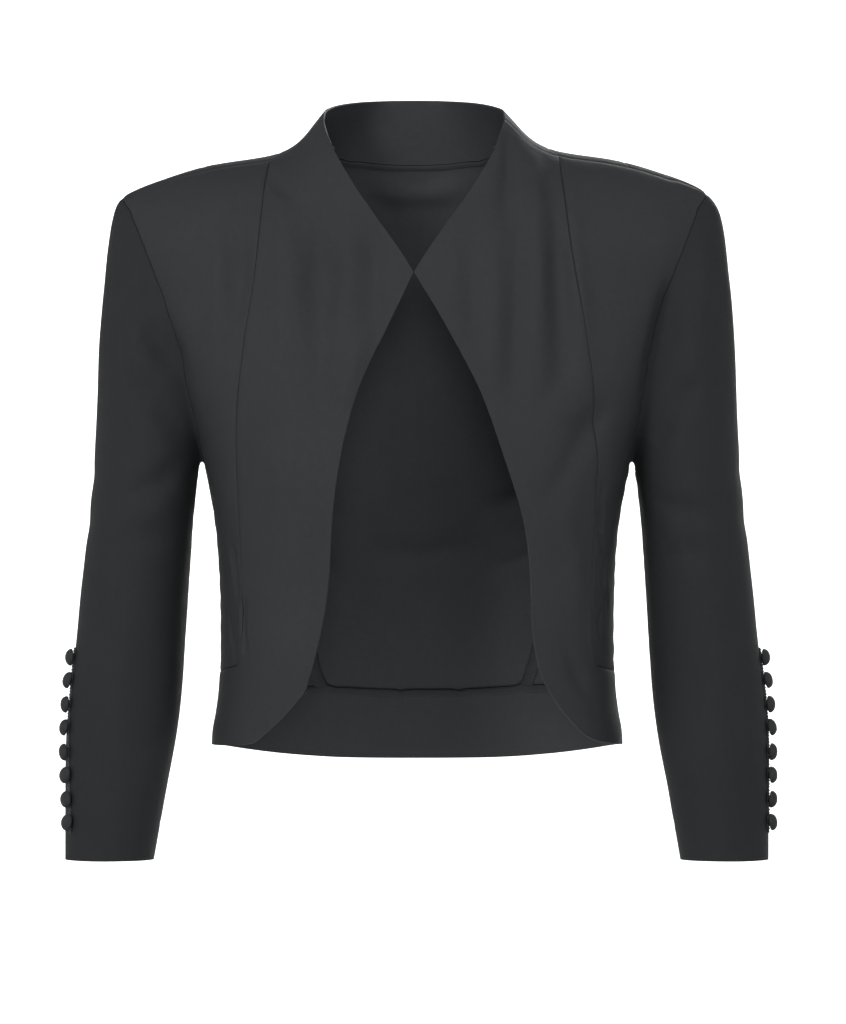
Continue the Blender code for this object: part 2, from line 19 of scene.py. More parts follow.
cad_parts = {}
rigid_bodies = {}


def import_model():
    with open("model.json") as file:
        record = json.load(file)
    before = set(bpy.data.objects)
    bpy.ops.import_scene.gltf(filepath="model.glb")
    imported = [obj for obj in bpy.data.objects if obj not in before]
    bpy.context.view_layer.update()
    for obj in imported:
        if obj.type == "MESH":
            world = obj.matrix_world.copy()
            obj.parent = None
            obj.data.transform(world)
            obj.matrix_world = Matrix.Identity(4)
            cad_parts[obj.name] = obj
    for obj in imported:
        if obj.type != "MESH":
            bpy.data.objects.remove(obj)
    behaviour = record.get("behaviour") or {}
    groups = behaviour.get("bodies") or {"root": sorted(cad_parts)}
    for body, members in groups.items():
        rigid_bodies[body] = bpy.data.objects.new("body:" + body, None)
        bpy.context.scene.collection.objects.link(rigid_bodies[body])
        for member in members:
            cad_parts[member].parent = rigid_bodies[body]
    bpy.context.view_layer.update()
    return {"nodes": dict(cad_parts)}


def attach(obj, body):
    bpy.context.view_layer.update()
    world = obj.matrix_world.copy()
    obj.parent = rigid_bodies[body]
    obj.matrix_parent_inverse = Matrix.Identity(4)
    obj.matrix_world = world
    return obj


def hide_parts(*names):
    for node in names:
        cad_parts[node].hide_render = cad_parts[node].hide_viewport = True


bl_info = {
    "name": "Bolero jacket cloth",
    "version": (1, 0, 0),
    "blender": (4, 5, 0),
    "location": "View3D > Sidebar > Jacket",
    "description": "Dresses the packed bolero jacket in cloth, seams and covered buttons",
    "category": "Object",
}

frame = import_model()

MM = 0.001
BODY = "root"
# The wearer's two sides, and which way along X each faces outwards.
SIDES = {"right": -1, "left": 1}

# What each piece was cut to before it was sewn: width, length and area of the flat pattern.
CUTS = {
    "front_right": (0.150, 0.480, 0.0366),
    "front_left": (0.150, 0.480, 0.0333),
    "side_front_right": (0.150, 0.400, 0.0266),
    "side_front_left": (0.150, 0.400, 0.0266),
    "side_back_right": (0.150, 0.400, 0.0308),
    "side_back_left": (0.150, 0.400, 0.0303),
    "sleeve_right": (0.340, 0.480, 0.1003),
    "sleeve_left": (0.340, 0.480, 0.1009),
    "back_centre": (0.330, 0.430, 0.087),
    "hem_band": (0.400, 0.070, 0.0182),
    "collar_back": (0.280, 0.090, 0.0128),
}
PIECES = list(CUTS)
# Painted shade on the sleeves: how much darker their cloth colour is made than that of the body.
SLEEVE_PAINTED_SHADE = 0.67

# Folds of the cloth: soft troughs, or ridges where the rise is above 0. A fold runs through three
# places seen from one side, where across is X, or Y on the outer sides of the sleeves. Its height
# wanders along its line, and low valleys lie on both sides of it.
FOLDS = {
    # across and height of three places, half width, rise
    "front": (
        ((-99, -18), (-88, -88), (-100, -196), 11.0, 1.5),
        ((-62, -34), (-65, -104), (-66, -196), 10.0, -1.25),
        ((-28, -34), (-28, -84), (-34, -140), 8.5, -1.0),
        ((-118, -24), (-120, -84), (-126, -150), 9.0, -1.2),
        ((-136, -44), (-134, -92), (-138, -130), 8.0, 0.9),
        ((-101, -8), (-91, -22), (-76, -34), 6.5, -0.7),
        ((-31, -114), (-42, -142), (-50, -172), 8.0, 1.3),
        ((-46, -52), (-45, -80), (-50, -112), 8.0, 0.8),
        ((-84, -182), (-90, -230), (-96, -290), 13.0, 0.9),
        ((-75, -250), (-72, -300), (-80, -350), 10.0, -0.7),
        ((-126, -262), (-123, -280), (-121, -300), 3.2, -0.9),
        ((-116, -296), (-118, -314), (-116, -336), 3.2, -0.8),
        ((-128, -306), (-126, -322), (-122, -338), 3.0, -0.8),
        ((64, 18), (62, -8), (60, -40), 6.5, -1.5),
        ((79, 6), (81, -70), (80, -170), 7.5, 1.0),
        ((92, -6), (96, -74), (99, -178), 8.0, -1.15),
        ((106, -24), (109, -86), (113, -160), 7.0, 0.9),
        ((68, -30), (67, -94), (63, -180), 7.5, -0.9),
        ((51, -42), (52, -90), (49, -156), 7.5, 0.7),
        ((34, -50), (36, -86), (40, -132), 7.5, -0.7),
        ((108, -146), (98, -168), (84, -188), 11.0, 1.2),
        ((130, -166), (112, -192), (90, -234), 11.0, -1.6),
        ((98, -238), (106, -270), (110, -312), 9.0, 0.7),
        ((126, -224), (124, -246), (127, -268), 3.0, -1.1),
        ((129, -270), (127, -286), (129, -302), 3.0, -1.1),
        ((125, -308), (124, -318), (126, -330), 2.8, -0.9),
        ((100, -330), (108, -350), (118, -366), 6.0, -0.7),
        ((-192, -108), (-174, -126), (-158, -146), 9.0, -1.3),
        ((-198, -150), (-178, -164), (-158, -186), 10.0, -1.2),
        ((-160, -206), (-178, -222), (-202, -228), 9.0, -0.9),
        ((-164, -262), (-184, -256), (-210, -262), 9.0, -0.8),
        ((-196, -60), (-192, -110), (-196, -170), 9.0, 0.8),
        ((-200, -290), (-204, -350), (-208, -420), 11.0, 0.7),
        ((176, -78), (166, -112), (156, -160), 9.0, -1.4),
        ((198, -64), (190, -110), (188, -160), 9.0, 0.9),
        ((196, -146), (176, -168), (160, -196), 9.0, -1.1),
        ((162, -230), (184, -240), (208, -236), 9.0, -0.9),
        ((166, -274), (190, -268), (214, -276), 9.0, -0.8),
        ((204, -300), (206, -360), (208, -430), 11.0, 0.7),
    ),
    "back": (
        ((-92, -30), (-84, -92), (-98, -176), 11.0, 1.7),
        ((-62, -56), (-58, -120), (-72, -186), 10.0, -1.5),
        ((94, -28), (86, -90), (96, -168), 11.0, 1.6),
        ((63, -52), (60, -116), (73, -178), 10.0, -1.5),
        ((-118, -196), (-84, -226), (-40, -248), 9.0, -1.8),
        ((120, -190), (88, -222), (44, -240), 9.0, -1.7),
        ((-122, -246), (-92, -270), (-54, -284), 8.0, -1.5),
        ((122, -240), (96, -264), (54, -280), 8.0, -1.5),
        ((-36, -262), (0, -270), (38, -260), 9.0, -1.0),
        ((-14, -60), (-4, -150), (-12, -280), 15.0, -1.0),
        ((30, -90), (34, -170), (26, -290), 13.0, 0.9),
        ((-124, -300), (-112, -314), (-90, -330), 5.0, -0.8),
        ((124, -296), (110, -312), (92, -324), 5.0, -0.8),
        ((-34, -14), (0, -21), (36, -14), 7.5, -1.2),
        ((-184, -90), (-170, -118), (-160, -160), 9.0, -1.3),
        ((184, -86), (172, -116), (160, -156), 9.0, -1.3),
        ((-210, -190), (-186, -206), (-160, -210), 7.0, -1.2),
        ((-214, -228), (-190, -238), (-162, -236), 7.0, -1.3),
        ((-216, -264), (-192, -268), (-164, -260), 8.0, -1.1),
        ((212, -186), (188, -204), (160, -206), 7.0, -1.2),
        ((216, -226), (190, -234), (162, -230), 7.0, -1.3),
        ((218, -260), (192, -266), (164, -256), 8.0, -1.1),
    ),
    "right": (
        ((-26, -60), (-12, -110), (-16, -170), 12.0, 0.35),
        ((30, -196), (6, -214), (-26, -220), 10.0, -0.3),
        ((34, -236), (8, -248), (-24, -246), 10.0, -0.3),
    ),
    "left": (
        ((-24, -64), (-10, -112), (-18, -168), 12.0, 0.35),
        ((32, -192), (8, -210), (-24, -214), 10.0, -0.3),
        ((34, -232), (6, -246), (-26, -242), 10.0, -0.3),
    ),
}
RAYS = {
    # side: where a place lies before it is dropped on the cloth, and the way it drops
    "front": (lambda across, height: Vector((across, -1000, height)), Vector((0, 1, 0))),
    "back": (lambda across, height: Vector((across, 1000, height)), Vector((0, -1, 0))),
    "right": (lambda across, height: Vector((-1000, across, height)), Vector((1, 0, 0))),
    "left": (lambda across, height: Vector((1000, across, height)), Vector((-1, 0, 0))),
}
# Steps of a fold's line, how deep and how wide a fold and its valleys are against their rows in the
# table, how soon it fades at its ends, and how its width and height wander.
FOLD_STEPS = 12
FOLD_DEPTH = 3.4
FOLD_REACH = 3
FOLD_VALLEY = 0.22
FOLD_VALLEY_WIDTH = 1.9
FOLD_END = 0.6
WANDER_STEPS = 40
WANDER_PACE = 3.1
WANDER_WIDTH = 0.35
WANDER_RISE = 0.5

# Sewing the outer faces into one mesh: the distances in millimetres within which points are one, are
# joined over a seam, or are too crowded, and the bends at which a wall ends or a seam turns.
SAME_SPOT = 0.01
SEWN_GAP = 0.75
CROWDED = 2.4
WALL_BEND = math.radians(35)
FLAT_BEND = math.radians(40)
SEAM_TURN = math.radians(35)
SEAM_SMOOTHING = 4

# Bends of the free edge, from which the mesh keeps a corner, and keeps it fully.
CORNER_FROM = math.radians(14)
CORNER_FULLY = math.radians(34)

# Waves of the whole cloth: how many a metre, and how far they lift it.
UNEVEN = ((13.0, 0.45), (34.0, 0.16))

# How far the cloth dips towards a seam, and how wide that dip is.
SEAM_DIP = 0.45
SEAM_REACH = 1.5
SEAM_STEP = 0.4

# Puckers that stand across a seam: the seam's two pieces, how far apart they are and how high.
PUCKERS = (
    # pieces whose shared seam puckers, spacing, rise, reach
    (("side_front", "side_back"), 15.0, 0.55, 11.0),
    (("back_centre", "side_back"), 13.0, 0.4, 9.0),
    (("back_centre", "hem_band"), 12.0, 0.16, 7.0),
    (("side_back", "hem_band"), 12.0, 0.25, 7.0),
    (("sleeve", "side_front"), 16.0, 0.3, 9.0),
    (("sleeve", "side_back"), 16.0, 0.3, 9.0),
    (("back_centre", "collar_back"), 14.0, 0.2, 6.0),
)
# How unevenly puckers are spaced, and their usual height.
PUCKER_SHIFT = 2.5
PUCKER_MEAN = 0.55

# Seam allowances pressed flat inside the jacket, as strips with a raw edge that lifts a little.
ALLOWANCES = (
    # name, piece it lies on, pieces beyond the seam, width
    ("neck_allowance", "back_centre", ("collar_back",), 2.6),
    ("band_allowance", "hem_band", ("back_centre", "side_back_right", "side_back_left"), 4.2),
    ("back_allowance_right", "side_back_right", ("back_centre",), 7.5),
    ("back_allowance_left", "side_back_left", ("back_centre",), 7.5),
    ("side_allowance_right", "side_back_right", ("side_front_right",), 8.0),
    ("side_allowance_left", "side_back_left", ("side_front_left",), 8.0),
    ("princess_allowance_right", "side_front_right", ("front_right",), 7.5),
    ("princess_allowance_left", "side_front_left", ("front_left",), 7.5),
    ("armhole_allowance_right", "sleeve_right", ("side_front_right", "side_back_right"), 8.0),
    ("armhole_allowance_left", "sleeve_left", ("side_front_left", "side_back_left"), 8.0),
)
# Rows across a strip, how far it starts beyond the seam, how thick it is, and its room to the cloth
# at the seam, inwards of it and where the raw edge lifts.
ALLOWANCE_COLUMNS = 4
ALLOWANCE_BACK = 0.9
ALLOWANCE_THICK = 0.36
ALLOWANCE_SINK = 0.25
ALLOWANCE_GAP = 0.2
ALLOWANCE_LIFT = 0.22
ALLOWANCE_UNEVEN = 0.08

# The hem turned up inside each cuff: how deep and how thick it is, how far it stops short of the
# edge and sinks into the sleeve, and how deep and wide its hidden stitches draw the sleeve in.
CUFF_HEM = 26.0
CUFF_HEM_THICK = 0.9
CUFF_HEM_ROUND = 0.5
CUFF_HEM_OVERLAP = 0.05
CUFF_STITCH_DIP = 0.45
CUFF_STITCH_REACH = 1.3

BUTTONS = 8
# A covered button from its middle outwards and round to the flat back.
DOME = (
    # radius, height above the cloth
    (0.0, 6.5),
    (1.6, 6.4),
    (3.3, 5.95),
    (4.7, 5.0),
    (5.6, 3.8),
    (5.9, 2.6),
    (5.6, 1.85),
    (4.6, 1.5),
    (3.2, 1.35),
    (2.5, 1.0),
    (2.3, 0.6),
    (2.4, 0.2),
    (0.0, 0.2),
)
# How far the shank stands into the cloth, then the unevenness of a dome, its gathers underneath
# with the height that they start at, and the radius that fingers rub.
SHANK_FOOT = 0.45
DOME_SIDES = 40
DOME_UNEVEN = 0.035
GATHERS = 13
GATHER_FROM = 3.2
GATHER_OVER = 1.5
GATHER_DEPTH = 0.22
RUBBED_RADIUS = 4.6

# Looped braid under the buttons: step and knot length, size, and how far it runs past the row, swings
# to the sides and stands off the cloth.
BRAID_STEP = 0.45
BRAID_KNOT = 2.2
BRAID_SIZE = 1.15
BRAID_SIDES = 10
BRAID_BEYOND = 7.5
BRAID_SWING = 0.35
BRAID_HEIGHT = 0.45

# The round pale floor, which sweeps up into a low wall and glows far out, the camera and the lights.
WORLD_LIGHT = 0.18
GLOW = 0.8
GLOW_FROM = 9.0
GLOW_FULLY = 40.0
SWEEP_RADIUS = 11.0
SWEEP_CURVE = 1.4
SWEEP_TOP = 3.4
SWEEP_STEPS = 12
SWEEP_SIDES = 96
CAMERA_SENSOR = 36.0
CAMERA_REACH = 60.0
CAMERA_ACROSS = 0.0041
CAMERA_HEIGHT = -0.2404
LIGHTS = (
    # name, kind, place, size, watts
    ("key_light", "AREA", (-1.7, -2.65, 1.35), 1.0, 86.0),
    ("front_light", "SPOT", (0.0, -3.6, 0.15), 0.45, 420.0),
    ("left_hand_light", "AREA", (2.3, -2.2, 0.5), 0.9, 2.5),
    ("left_side_light", "AREA", (3.1, 0.5, 0.7), 1.2, 17.0),
    ("right_side_light", "AREA", (-3.1, 0.6, 0.5), 1.2, 9.0),
    ("top_light", "AREA", (0.4, -1.7, 2.2), 1.2, 44.0),
    ("back_key_light", "AREA", (0.95, 2.6, 1.2), 0.7, 78.0),
    ("back_fill_light", "AREA", (-0.5, 2.9, 0.1), 1.0, 17.0),
)
SPOT_CONE = math.radians(11.5)
LIT_SPOT = (-0.02, 0.0, -0.14)


def length(name, description, default):
    """Return a property that holds a length."""
    return FloatProperty(name=name, description=description, default=default, unit="LENGTH")


def colour(name, description, default):
    """Return a property that holds a colour."""
    return FloatVectorProperty(
        name=name, description=description, default=default, size=3, subtype="COLOR"
    )


class JacketCloth(bpy.types.PropertyGroup):
    """Sizes and colours of the cloth."""

    wall: length("Thickness", "Thickness of the cloth", 0.0015)
    levels: IntProperty(
        name="Fineness", description="How often each face of the frame is halved", default=3
    )
    seam_band: length("Seam roll", "Width of the sharp edge of a seam", 0.00028)
    seam_depth: length("Seam depth", "How far a seam lies in", 0.0005)
    edge_round: length("Edge roundness", "Radius of a turned edge", 0.00022)
    shadow_colour: colour("Deep colour", "Colour between the threads", (0.0101, 0.0111, 0.0118))
    thread_colour: colour("Thread colour", "Colour of the threads", (0.0200, 0.0219, 0.0232))
    # Painted highlight: the colour that the free edges are made paler towards.
    worn_colour: colour("Pressed colour", "Colour along pressed edges", (0.030, 0.0326, 0.0345))
    # How much paler the reverse is made: partly its own paler tone, partly painted light on the shaded
    # inside of the jacket.
    reverse_paler: FloatProperty(
        name="Reverse", description="How much paler the reverse of the cloth is", default=1.55
    )
    rib: length("Rib", "Distance from rib to rib", 0.0009)


class JacketStage(bpy.types.PropertyGroup):
    """Camera, floor and lights."""

    distance: length("Camera distance", "From the camera to the shoulders", 6.0)
    view_height: length("Seen height", "Height of what the camera sees", 0.6994)
    floor_drop: length("Floor", "Height of the floor", -1.3)
    floor_colour: colour("Floor colour", "Colour of the floor", (0.93, 0.93, 0.93))


class Value:
    """A number that a material works out: sums and products of it add Math nodes."""

    def __init__(self, finish, socket):
        self.finish = finish
        self.socket = socket

    def maths(self, operation, *others):
        """Add a Math node that works on this number."""
        node = self.finish.add("ShaderNodeMath", {"operation": operation}, self, *others)
        return Value(self.finish, node.outputs[0])

    def __add__(self, other):
        return self.maths("ADD", other)

    def __sub__(self, other):
        return self.maths("SUBTRACT", other)

    def __mul__(self, other):
        return self.maths("MULTIPLY", other)

    def __rsub__(self, other):
        return (self * -1.0).maths("ADD", other)

    __radd__ = __add__
    __rmul__ = __mul__

    def wave(self, repeat):
        """Return a sine that repeats over this distance, from -1 to 1."""
        return self.maths("MULTIPLY", math.tau / repeat).maths("SINE")

    def between(self, low, high):
        """Return 0 below one number, 1 above the other, and a soft step between them."""
        settings = {"interpolation_type": "SMOOTHSTEP"}
        node = self.finish.add("ShaderNodeMapRange", settings, self, low, high)
        return Value(self.finish, node.outputs[0])


class Finish:
    """One material, and the one way to add nodes to it."""

    def __init__(self, name):
        self.material = bpy.data.materials.new(name)
        self.material.use_nodes = True
        self.tree = self.material.node_tree
        self.shader = self.tree.nodes["Principled BSDF"]

    def add(self, kind, settings, *values, **named):
        """Add a node, make its settings, then set or link its inputs in order or by name."""
        node = self.tree.nodes.new(kind)
        for key, value in settings.items():
            setattr(node, key, value)
        for key, value in [*enumerate(values), *named.items()]:
            socket = node.inputs[key if isinstance(key, int) else key.replace("_", " ")]
            self.put(socket, value)
        return node

    def put(self, socket, value):
        """Link a value to a socket, or set a plain number or colour on it."""
        if isinstance(value, Value):
            value = value.socket
        if isinstance(value, bpy.types.NodeSocket):
            self.tree.links.new(value, socket)
        else:
            socket.default_value = value

    def set(self, **named):
        """Set or link inputs of the shader by name."""
        for key, value in named.items():
            self.put(self.shader.inputs[key.replace("_", " ")], value)

    def grain(self, scale, detail=2.0, rough=0.5):
        """Return cloudy noise over the piece, about 0.5 on the average."""
        place = self.add("ShaderNodeTexCoord", {}).outputs["Object"]
        node = self.add("ShaderNodeTexNoise", {}, Vector=place, Scale=scale, Detail=detail, Roughness=rough)
        return Value(self, node.outputs["Fac"])

    def along_cloth(self):
        """Return the two distances over the flat cloth, in metres."""
        place = self.add("ShaderNodeUVMap", {"uv_map": "pattern"}).outputs[0]
        split = self.add("ShaderNodeSeparateXYZ", {}, place)
        return Value(self, split.outputs[0]), Value(self, split.outputs[1])

    def along_edges(self, name):
        """Return how near a place is to an edge or a seam, which the mesh carries by name."""
        return Value(self, self.add("ShaderNodeAttribute", {"attribute_name": name}).outputs["Fac"])

    def blend(self, share, low, high):
        """Return a colour between two colours."""
        low, high = (tuple(c) + (1.0,) if hasattr(c, "__len__") else c for c in (low, high))
        node = self.add("ShaderNodeMix", {"data_type": "RGBA"})
        for name, value in (("Factor_Float", share), ("A_Color", low), ("B_Color", high)):
            self.put(next(s for s in node.inputs if s.identifier == name), value)
        return next(s for s in node.outputs if s.identifier == "Result_Color")

    def bump(self, height, distance, strength=1.0, normal=None):
        """Return a normal that this height tilts, on top of another normal if one is given."""
        node = self.add("ShaderNodeBump", {}, Strength=strength, Distance=distance, Height=height)
        if normal:
            self.put(node.inputs["Normal"], normal)
        return node.outputs[0]


@functools.cache
def cloth_finish(side, shade):
    """Matt black double crepe: fine ribs, a pebbled face, painted shade in its seams and a faint painted
    highlight on its smoother pressed edges.

    The reverse of the cloth, which the inside of the jacket shows, is smoother and paler: partly its own
    paler tone, and partly painted light that lifts the shaded inside.
    Pieces of the sleeves get a painted shade: their colours are made darker by this shade.
    """
    cloth = bpy.context.scene.jacket_cloth
    # The reverse is made paler, partly by its own tone and partly by painted light; the sleeves carry a
    # painted shade.
    tone_with_painted_light_and_shade = shade if side == "face" else shade * cloth.reverse_paler
    deep, light = (tuple(c * tone_with_painted_light_and_shade for c in dye) for dye in (cloth.shadow_colour, cloth.thread_colour))
    finish = Finish(f"black_crepe_{side}_{round(100 * shade)}")
    across, along = finish.along_cloth()
    ribs = across.wave(cloth.rib)
    rows = (along + across * 0.35).wave(cloth.rib * 0.8)
    pebbles = finish.grain(1900.0, 1.0, 0.6)
    cloud = finish.grain(16.0, 3.0, 0.55)
    mottle = finish.grain(260.0, 2.0, 0.6)
    face = pebbles * 0.7 + (ribs * 0.22 + rows * 0.13) * (1.0 if side == "face" else 0.3)
    edge = finish.along_edges("pressed")
    seam = finish.along_edges("seam")
    share = face.between(-0.2, 0.9) * 0.55 + cloud * 0.35 + mottle * 0.25 - 0.08
    threads = finish.blend(share, deep, light)
    # Painted highlight: the free edges are made unevenly paler; they are also a little smoother.
    painted_edge_highlight = edge.between(0.45, 1.0) * (mottle * 0.5 + 0.15)
    threads_with_edge_highlight = finish.blend(painted_edge_highlight, threads, cloth.worn_colour)
    # Painted shade: the seam grooves are darkened to near black, less on the reverse.
    finish.set(
        Base_Color=finish.blend(
            seam.between(0.1, 0.9) * (0.65 if side == "face" else 0.35), threads_with_edge_highlight, (0.003, 0.003, 0.004)
        ),
        Roughness=0.93 - mottle * 0.12 - edge * 0.06,
        Specular_IOR_Level=0.14,
        Normal=finish.bump(face, 0.00010, 0.7, finish.bump(cloud, 0.0012, 0.35)),
    )
    return finish.material


@functools.cache
def button_finish():
    """The same cloth pulled tight over a dome, a little smoother where fingers rub it."""
    cloth = bpy.context.scene.jacket_cloth
    finish = Finish("covered_button")
    pebbles = finish.grain(2600.0, 1.0, 0.6)
    mottle = finish.grain(420.0, 2.0, 0.6)
    rubbed = finish.along_edges("pressed")
    share = pebbles * 0.4 + mottle * 0.3 + rubbed * 0.25
    finish.set(
        Base_Color=finish.blend(share, cloth.shadow_colour, cloth.thread_colour),
        Roughness=0.9 - rubbed * 0.16 - mottle * 0.08,
        Specular_IOR_Level=0.2,
        Normal=finish.bump(pebbles, 0.00008, 0.7),
    )
    return finish.material


@functools.cache
def strip_finish():
    """Cloth of the seam allowances, oversewn with slanting stitches along the raw edge."""
    cloth = bpy.context.scene.jacket_cloth
    finish = Finish("oversewn_allowance")
    across, along = finish.along_cloth()
    stitches = (along + across * 0.8).wave(0.0024)
    on_edge = across.between(0.0022, 0.003)
    pebbles = finish.grain(1900.0, 1.0, 0.6)
    thread = on_edge * stitches.between(-0.2, 0.5)
    share = pebbles * 0.7 + thread * 0.2
    finish.set(
        Base_Color=finish.blend(share, cloth.shadow_colour, cloth.thread_colour),
        Roughness=0.92 - thread * 0.15,
        Specular_IOR_Level=0.3,
        Normal=finish.bump(thread + pebbles * 0.25, 0.0002, 0.5),
    )
    return finish.material


@functools.cache
def thread_finish():
    """Twisted polyester thread with a low gloss."""
    finish = Finish("black_thread")
    strands = finish.grain(1500.0, 1.0, 0.5)
    finish.set(
        Base_Color=finish.blend(strands, (0.007, 0.0075, 0.008), (0.021, 0.0225, 0.0235)),
        Roughness=0.85 - strands * 0.15,
        Normal=finish.bump(strands, 0.0001, 0.8),
    )
    return finish.material


def add_piece(name, mesh, material, nodes=()):
    """Make a finished mesh a piece of the jacket."""
    mesh.materials.clear()
    mesh.materials.append(material)
    mesh.shade_smooth()
    piece = bpy.data.objects.new(name, mesh)
    bpy.context.scene.collection.objects.link(piece)
    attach(piece, BODY)
    if nodes:
        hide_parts(*nodes)
    return piece


def mesh_from(name, shape):
    """Turn a bmesh into a mesh and free it."""
    mesh = bpy.data.meshes.new(name)
    shape.to_mesh(mesh)
    shape.free()
    return mesh


def outer_sheet(node, number):
    """Return the outer faces of a cloth node's wall, as quads that carry the piece's number."""
    wall = bmesh.new()
    wall.from_mesh(node.data)
    bmesh.ops.remove_doubles(wall, verts=wall.verts, dist=SAME_SPOT * MM)
    wall.normal_update()
    groups, seen = [], set()
    for first in wall.faces:
        if first in seen:
            continue
        seen.add(first)
        group, waiting = [], [first]
        while waiting:
            face = waiting.pop()
            group.append(face)
            for edge in face.edges:
                for other in edge.link_faces if edge.calc_face_angle(math.pi) < WALL_BEND else ():
                    if other not in seen:
                        seen.add(other)
                        waiting.append(other)
        groups.append(group)
    with_rim, plain = sorted(groups, key=len, reverse=True)[:2]
    if len(with_rim) > len(plain):
        touched = {vert for face in plain for vert in face.verts}
        with_rim = [face for face in with_rim if touched.isdisjoint(face.verts)]
    outer = set(max(with_rim, plain, key=lambda group: sum(face.calc_area() for face in group)))
    bmesh.ops.delete(wall, geom=[face for face in wall.faces if face not in outer], context="FACES")
    bmesh.ops.join_triangles(
        wall, faces=wall.faces, angle_face_threshold=FLAT_BEND, angle_shape_threshold=math.pi
    )
    for face in wall.faces:
        face.material_index = number
    return wall


def turned(profile, steps):
    """Spin a profile of radii and heights all the way round, with its seam and poles closed."""
    shape = bmesh.new()
    rail = [shape.verts.new((radius, 0, height)) for radius, height in profile]
    line = [shape.edges.new(pair) for pair in zip(rail, rail[1:])]
    bmesh.ops.spin(
        shape, geom=rail + line, cent=(0, 0, 0), axis=(0, 0, 1), angle=math.tau, steps=steps,
        use_merge=True,
    )
    bmesh.ops.remove_doubles(shape, verts=shape.verts, dist=SAME_SPOT * MM)
    bmesh.ops.recalc_face_normals(shape, faces=shape.faces)
    return shape


def tree_of(points):
    """Return a tree that finds the nearest of these points."""
    tree = KDTree(len(points))
    for i, point in enumerate(points):
        tree.insert(point, i)
    tree.balance()
    return tree


def pieces_at(vert):
    """Return the numbers of the pieces that meet at a point."""
    return {face.material_index for face in vert.link_faces}


def sewn_cage():
    """Return the outer sheets of all cloth nodes as one mesh, sewn along the seams."""
    cage = bmesh.new()
    for number, name in enumerate(PIECES):
        part = mesh_from(name, outer_sheet(frame["nodes"][name], number))
        cage.from_mesh(part)
        bpy.data.meshes.remove(part)
    close = bmesh.ops.find_doubles(cage, verts=cage.verts, dist=SEWN_GAP * MM)["targetmap"]
    fronts = {PIECES.index("front_right"), PIECES.index("front_left")}
    joined = {a: b for a, b in close.items() if pieces_at(a) | pieces_at(b) != fronts}
    for a, b in joined.items():
        a.co = b.co = (a.co + b.co) / 2
    bmesh.ops.weld_verts(cage, targetmap=joined)
    fixed = [vert for vert in cage.verts if vert.is_boundary or len(pieces_at(vert)) > 1]
    crowded = bmesh.ops.find_doubles(cage, verts=cage.verts, keep_verts=fixed, dist=CROWDED * MM)
    bmesh.ops.weld_verts(cage, targetmap=crowded["targetmap"])
    even_out(cage)
    for edge in cage.edges:
        edge.seam = len({face.material_index for face in edge.link_faces}) > 1
    for side in SIDES:
        cut_underarm(cage, PIECES.index(f"sleeve_{side}"))
    keep_corners(cage)
    return cage


def even_out(cage):
    """Take the small kinks out of the two seams that run down the front, and hold them there."""
    crease = cage.edges.layers.float.new("crease_edge")
    for pair, edges in seam_lines(cage).items():
        if pair_name(pair) != {"front", "side_front"}:
            continue
        for edge in edges:
            edge[crease] = 1.0
        path = chain(edges)[0]
        for _ in range(SEAM_SMOOTHING):
            for a, vert, b in zip(path, path[1:], path[2:]):
                if (a.co - vert.co).angle(vert.co - b.co) < SEAM_TURN:
                    vert.co.x += 0.5 * ((a.co.x + b.co.x) / 2 - vert.co.x)


def keep_corners(cage):
    """Keep the corners of the free edge where they are when the mesh is made finer."""
    crease = cage.verts.layers.float.new("crease_vert")
    for vert in cage.verts:
        rim = [edge for edge in vert.link_edges if edge.is_boundary]
        if len(rim) == 2:
            a, b = (edge.other_vert(vert).co - vert.co for edge in rim)
            bend = math.pi - a.angle(b)
            vert[crease] = min(1.0, max(0.0, (bend - CORNER_FROM) / (CORNER_FULLY - CORNER_FROM)))


def cut_underarm(cage, number):
    """Mark the sleeve's own seam, from the bottom of the armhole down to the cuff."""
    rim = [vert for vert in cage.verts if number in pieces_at(vert) and len(pieces_at(vert)) > 1]
    vert = min(rim, key=lambda v: v.co.z)
    while not vert.is_boundary:
        ways = []
        for edge in vert.link_edges:
            if all(face.material_index == number for face in edge.link_faces):
                step = edge.other_vert(vert).co - vert.co
                ways.append((step.z / step.length, edge))
        edge = min(ways, key=lambda way: way[0])[1]
        edge.seam = True
        vert = edge.other_vert(vert)


def lay_pattern(mesh):
    """Flatten every piece and give its pattern real size, with the grain running up."""
    uv = mesh.uv_layers["pattern"].uv
    spots = np.array([v.co for v in mesh.vertices])
    corners = np.array([loop.vertex_index for loop in mesh.loops])
    flat = np.array([u.vector for u in uv])
    for number in range(len(PIECES)):
        loops, area, flat_area = [], 0.0, 0.0
        for face in mesh.polygons:
            if face.material_index == number:
                ring = list(face.loop_indices)
                loops += ring
                area += face.area
                a = flat[ring]
                b = np.roll(a, -1, axis=0)
                flat_area += abs(np.sum(a[:, 0] * b[:, 1] - b[:, 0] * a[:, 1])) / 2
        here = flat[loops]
        here = (here - here.mean(axis=0)) * math.sqrt(area / flat_area)
        up = here.T @ (spots[corners[loops], 2] - spots[corners[loops], 2].mean())
        up /= np.linalg.norm(up)
        flat[loops] = here @ np.array([[up[1], up[0]], [-up[0], up[1]]])
    for spot, place in zip(uv, flat):
        spot.vector = place


def fold_path(tree, side, places):
    """Return points of a fold's line on the cloth."""
    start, way = RAYS[side]
    first, middle, last = (Vector(place) for place in places)
    path = []
    for step in range(FOLD_STEPS + 1):
        t = step / FOLD_STEPS
        spot = first * (1 - t) * (1 - 2 * t) + middle * 4 * t * (1 - t) + last * t * (2 * t - 1)
        hit = tree.ray_cast(start(*spot) * MM, way)[0]
        if hit is not None:
            path.append(hit)
    return path


